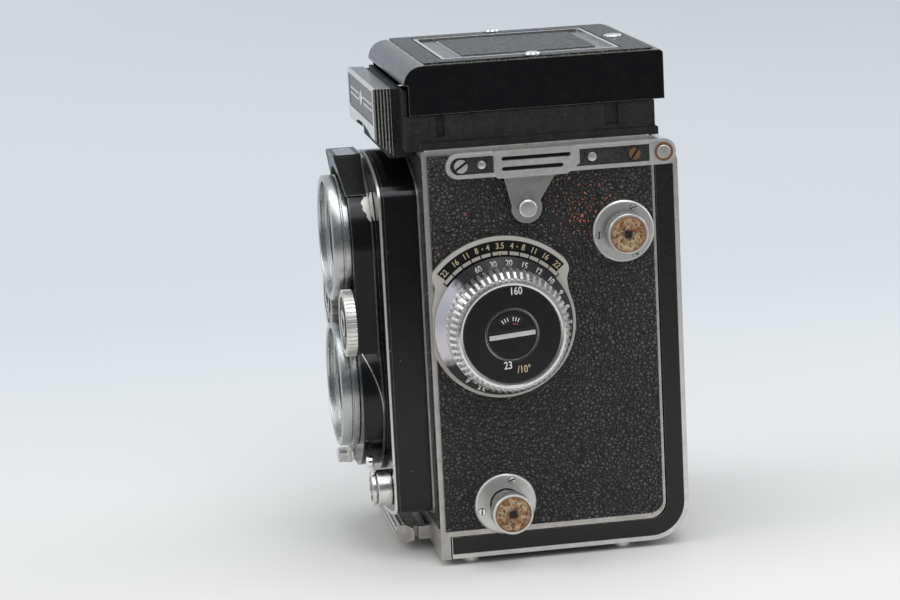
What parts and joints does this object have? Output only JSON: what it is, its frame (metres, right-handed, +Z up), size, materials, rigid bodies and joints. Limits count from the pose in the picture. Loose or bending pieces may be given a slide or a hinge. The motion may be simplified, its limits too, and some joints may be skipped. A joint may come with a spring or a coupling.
{
  "type": "twin lens reflex camera",
  "caption": "Box-shaped medium-format film camera with a viewing lens above a taking lens, folding finder hood, focus knob, winding crank and hinged back.",
  "frame": {"origin": "on the tripod seat's flat ring, at mid-width and mid-depth of the camera body, in the plane that the feet stand on", "axes": "+Z up; -Y is where the lenses look; +X is the side of the focus knob, -X the side of the crank"},
  "size_m": [0.1033, 0.1003, 0.1496],
  "materials": {
    "body_metal": "worn satin",
    "grain_leather": "coarse pebble grain",
    "lid_leather": "fine pebble grain",
    "black_enamel": "gloss black enamel, worn at edges",
    "wrinkle_black": "fine matte wrinkle",
    "inner_black": "matte",
    "chrome": "bright, lightly worn",
    "satin_metal": "satin",
    "gear_brass": "machined",
    "lens_glass": "coated and polished",
    "ground_glass": "ground on one face",
    "mirror_glass": "front-silvered"
  },
  "bodies": {
    "camera_body": {"body_casting": "body_metal", "left_leather": "grain_leather", "right_leather": "grain_leather", "film_gate": "inner_black", "reflex_mirror": "mirror_glass", "focusing_screen": "ground_glass", "hood_base": "wrinkle_black", "name_plate": "chrome", "strap_strip_left": "chrome", "strap_strip_right": "chrome", "depth_of_field_plate": "satin_metal", "upper_spool_flange": "satin_metal", "lower_spool_flange": "satin_metal", "crank_flange": "satin_metal", "counter_window": "chrome"},
    "focus_drive": {"focus_knob": "chrome", "focus_dial": "black_enamel", "focus_shaft": "satin_metal"},
    "film_speed_disc": {"film_speed_disc": "black_enamel"},
    "lens_board": {"lens_apron": "black_enamel", "lens_housing": "black_enamel", "viewing_bezel": "chrome", "viewing_lens": "lens_glass", "taking_bezel": "chrome", "taking_lens": "lens_glass", "shutter_case": "inner_black", "rear_lens": "lens_glass", "exposure_window": "chrome", "flash_socket": "chrome"},
    "aperture_wheel": {"aperture_wheel": "chrome"},
    "speed_wheel": {"speed_wheel": "chrome"},
    "self_timer_lever": {"self_timer_lever": "chrome"},
    "flash_socket_lock": {"flash_socket_lock": "chrome"},
    "shutter_release": {"shutter_release": "chrome"},
    "upper_spool_knob": {"upper_spool_knob": "satin_metal"},
    "lower_spool_knob": {"lower_spool_knob": "satin_metal"},
    "supply_spool": {"supply_spool": "inner_black"},
    "take_up_drive": {"take_up_spool": "inner_black", "take_up_gear": "gear_brass"},
    "crank": {"crank_hub": "satin_metal"},
    "crank_arm": {"crank_arm": "chrome"},
    "crank_grip": {"crank_grip": "chrome"},
    "upper_film_roller": {"upper_film_roller": "satin_metal"},
    "lower_film_roller": {"lower_film_roller": "satin_metal"},
    "rear_cover": {"rear_cover": "black_enamel", "rear_leather": "grain_leather", "tripod_socket": "satin_metal"},
    "pressure_plate": {"pressure_plate": "inner_black"},
    "back_lock_ring": {"back_lock_ring": "satin_metal"},
    "back_latch": {"back_latch": "body_metal"},
    "strap_spring_left": {"strap_spring_left": "satin_metal"},
    "strap_spring_right": {"strap_spring_right": "satin_metal"},
    "hood_lid": {"hood_lid": "black_enamel", "lid_leather": "lid_leather", "finder_flap": "chrome"},
    "hood_left_wall": {"hood_left_wall": "wrinkle_black"},
    "hood_right_wall": {"hood_right_wall": "wrinkle_black"},
    "hood_rear_wall": {"hood_rear_wall": "wrinkle_black"},
    "magnifier": {"magnifier_arm": "inner_black", "magnifier_lens": "lens_glass"}
  },
  "joints": [
    {"name": "focus_turn", "type": "hinge", "parent": "camera_body", "child": "focus_drive", "pos_m": [0, -0.0168, 0.0715], "axis": [1, 0, 0], "range_deg": [0, 290]},
    {"name": "lens_board_slide", "type": "slide", "parent": "camera_body", "child": "lens_board", "axis": [0, -1, 0], "range_m": [0, 0.00698]},
    {"name": "film_speed_turn", "type": "hinge", "parent": "focus_drive", "child": "film_speed_disc", "pos_m": [0, -0.0168, 0.0715], "axis": [1, 0, 0], "range_deg": [-150, 150]},
    {"name": "aperture_turn", "type": "hinge", "parent": "lens_board", "child": "aperture_wheel", "pos_m": [-0.0188, -0.059, 0.0715], "axis": [0, 1, 0], "range_deg": [0, 150]},
    {"name": "speed_turn", "type": "hinge", "parent": "lens_board", "child": "speed_wheel", "pos_m": [0.0188, -0.059, 0.0715], "axis": [0, 1, 0], "range_deg": [-180, 0]},
    {"name": "self_timer_swing", "type": "hinge", "parent": "lens_board", "child": "self_timer_lever", "pos_m": [0, -0.058, 0.049], "axis": [0, 1, 0], "range_deg": [0, 24]},
    {"name": "flash_lock_turn", "type": "hinge", "parent": "lens_board", "child": "flash_socket_lock", "pos_m": [0.022, -0.055, 0.0214], "axis": [0, 1, 0], "range_deg": [-70, 0]},
    {"name": "release_press", "type": "slide", "parent": "lens_board", "child": "shutter_release", "axis": [0, 1, 0], "range_m": [0, 0.0025], "stiffness_N_per_m": 200},
    {"name": "upper_knob_pull", "type": "slide", "parent": "camera_body", "child": "upper_spool_knob", "axis": [1, 0, 0], "range_m": [0, 0.008]},
    {"name": "lower_knob_pull", "type": "slide", "parent": "camera_body", "child": "lower_spool_knob", "axis": [1, 0, 0], "range_m": [-0.0055, 0.0025]},
    {"name": "supply_spin", "type": "hinge", "parent": "camera_body", "child": "supply_spool", "pos_m": [0, -0.0185, 0.0178], "axis": [1, 0, 0], "continuous": true},
    {"name": "crank_spin", "type": "hinge", "parent": "camera_body", "child": "crank", "pos_m": [0, 0.002, 0.072], "axis": [1, 0, 0], "continuous": true},
    {"name": "take_up_spin", "type": "hinge", "parent": "camera_body", "child": "take_up_drive", "pos_m": [0, 0.02, 0.0963], "axis": [1, 0, 0], "continuous": true},
    {"name": "crank_fold", "type": "hinge", "parent": "crank", "child": "crank_arm", "pos_m": [-0.0472, 0.002, 0.066], "axis": [0, 1, 0], "range_deg": [0, 180], "stiffness_Nm_per_rad": 0.02},
    {"name": "grip_spin", "type": "hinge", "parent": "crank_arm", "child": "crank_grip", "pos_m": [0, 0.002, 0.044], "axis": [1, 0, 0], "continuous": true},
    {"name": "upper_roller_spin", "type": "hinge", "parent": "camera_body", "child": "upper_film_roller", "pos_m": [0, 0.027, 0.0829], "axis": [1, 0, 0], "continuous": true},
    {"name": "lower_roller_spin", "type": "hinge", "parent": "camera_body", "child": "lower_film_roller", "pos_m": [0, 0.027, 0.0146], "axis": [1, 0, 0], "continuous": true},
    {"name": "back_swing", "type": "hinge", "parent": "camera_body", "child": "rear_cover", "pos_m": [0, 0.0326, 0.1188], "axis": [1, 0, 0], "range_deg": [0, 100]},
    {"name": "pressure_plate_give", "type": "slide", "parent": "rear_cover", "child": "pressure_plate", "axis": [0, 1, 0], "range_m": [0, 0.0015], "stiffness_N_per_m": 300},
    {"name": "back_lock_turn", "type": "hinge", "parent": "rear_cover", "child": "back_lock_ring", "pos_m": [0, -0.0065, 0.002], "axis": [0, 0, 1], "range_deg": [0, 45]},
    {"name": "latch_swing", "type": "hinge", "parent": "camera_body", "child": "back_latch", "pos_m": [0, -0.0401, 0.0048], "axis": [1, 0, 0], "range_deg": [0, 75], "stiffness_Nm_per_rad": 0.02},
    {"name": "strap_spring_left_flex", "type": "hinge", "parent": "camera_body", "child": "strap_spring_left", "pos_m": [0.0389, -0.007, 0.1144], "axis": [0, 1, 0], "range_deg": [-8, 0], "stiffness_Nm_per_rad": 0.02},
    {"name": "strap_spring_right_flex", "type": "hinge", "parent": "camera_body", "child": "strap_spring_right", "pos_m": [-0.0389, -0.007, 0.1144], "axis": [0, 1, 0], "range_deg": [0, 8], "stiffness_Nm_per_rad": 0.02},
    {"name": "hood_open", "type": "hinge", "parent": "camera_body", "child": "hood_lid", "pos_m": [0, -0.0423, 0.1418], "axis": [1, 0, 0], "range_deg": [0, 90]},
    {"name": "left_wall_fold", "type": "hinge", "parent": "camera_body", "child": "hood_left_wall", "pos_m": [0.0334, 0, 0.1264], "axis": [0, 1, 0], "range_deg": [0, 90]},
    {"name": "right_wall_fold", "type": "hinge", "parent": "camera_body", "child": "hood_right_wall", "pos_m": [-0.0334, 0, 0.1264], "axis": [0, 1, 0], "range_deg": [-90, 0]},
    {"name": "rear_wall_fold", "type": "hinge", "parent": "camera_body", "child": "hood_rear_wall", "pos_m": [0, 0.028, 0.136], "axis": [1, 0, 0], "range_deg": [-90, 0]},
    {"name": "magnifier_fold", "type": "hinge", "parent": "hood_lid", "child": "magnifier", "pos_m": [0, -0.008, 0.1416], "axis": [1, 0, 0], "range_deg": [-90, 0]}
  ],
  "couplings": [
    {"joint": "focus_turn", "follows": "lens_board_slide", "rad_per_m": 724.6},
    {"joint": "take_up_spin", "follows": "crank_spin", "ratio": -1.4},
    {"joint": "left_wall_fold", "follows": "hood_open", "ratio": 1},
    {"joint": "right_wall_fold", "follows": "hood_open", "ratio": -1},
    {"joint": "rear_wall_fold", "follows": "hood_open", "ratio": -1},
    {"joint": "magnifier_fold", "follows": "hood_open", "ratio": -1}
  ]
}
